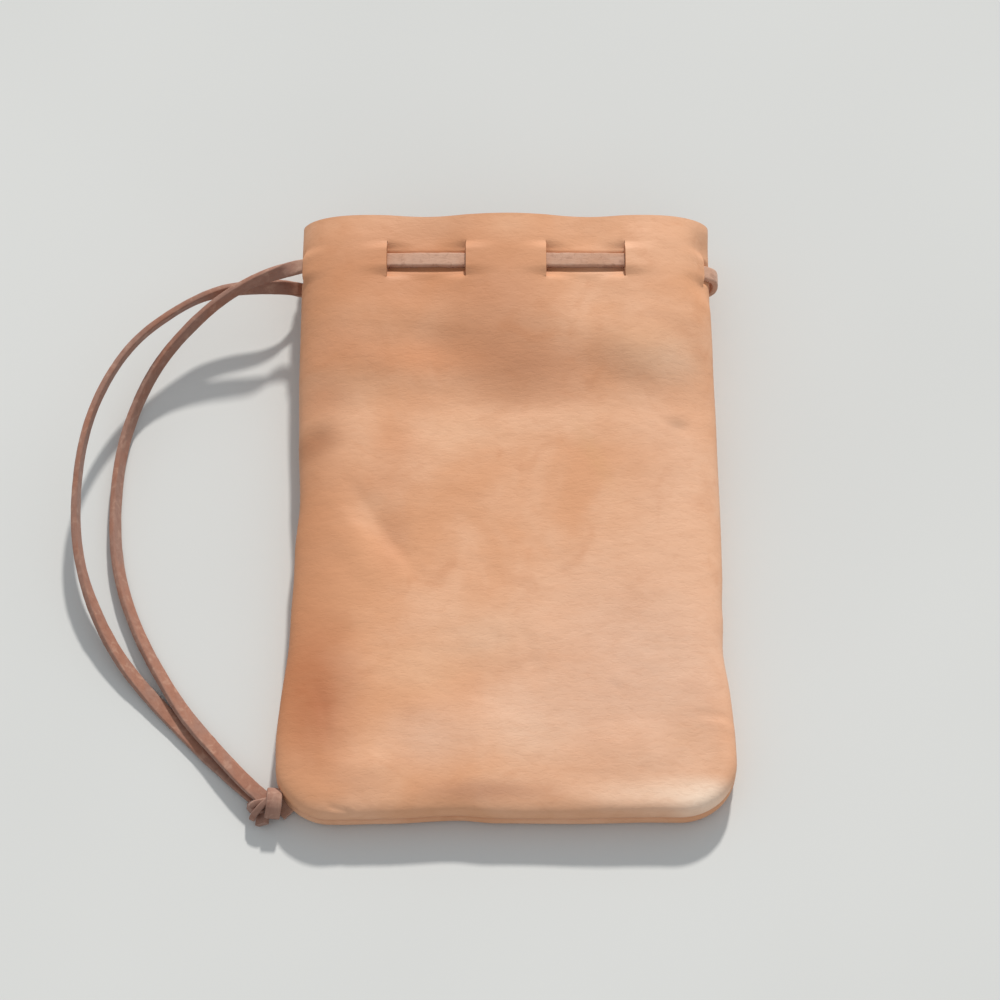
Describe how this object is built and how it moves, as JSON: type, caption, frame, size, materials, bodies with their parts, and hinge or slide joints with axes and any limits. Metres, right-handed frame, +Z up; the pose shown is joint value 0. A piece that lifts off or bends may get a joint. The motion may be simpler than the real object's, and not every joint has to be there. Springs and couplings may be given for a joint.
{
  "type": "leather drawstring pouch",
  "caption": "Soft leather pouch with rounded bottom corners, lying on its back, its open mouth threaded with a flat leather drawstring knotted at its ends.",
  "frame": {"origin": "on the surface that the pouch lies on, under the middle of its two panels", "axes": "+X across the pouch to its right, +Y along it towards its mouth, +Z up from the surface"},
  "size_m": [0.2162, 0.2117, 0.0373],
  "materials": {
    "leather": "smooth grain, matt",
    "thong": "suede, matt"
  },
  "bodies": {
    "root": {"front_panel": "leather", "back_panel": "leather", "drawstring": "thong", "drawstring_front_end": "thong", "drawstring_back_end": "thong", "drawstring_knot": "thong"}
  },
  "joints": []
}
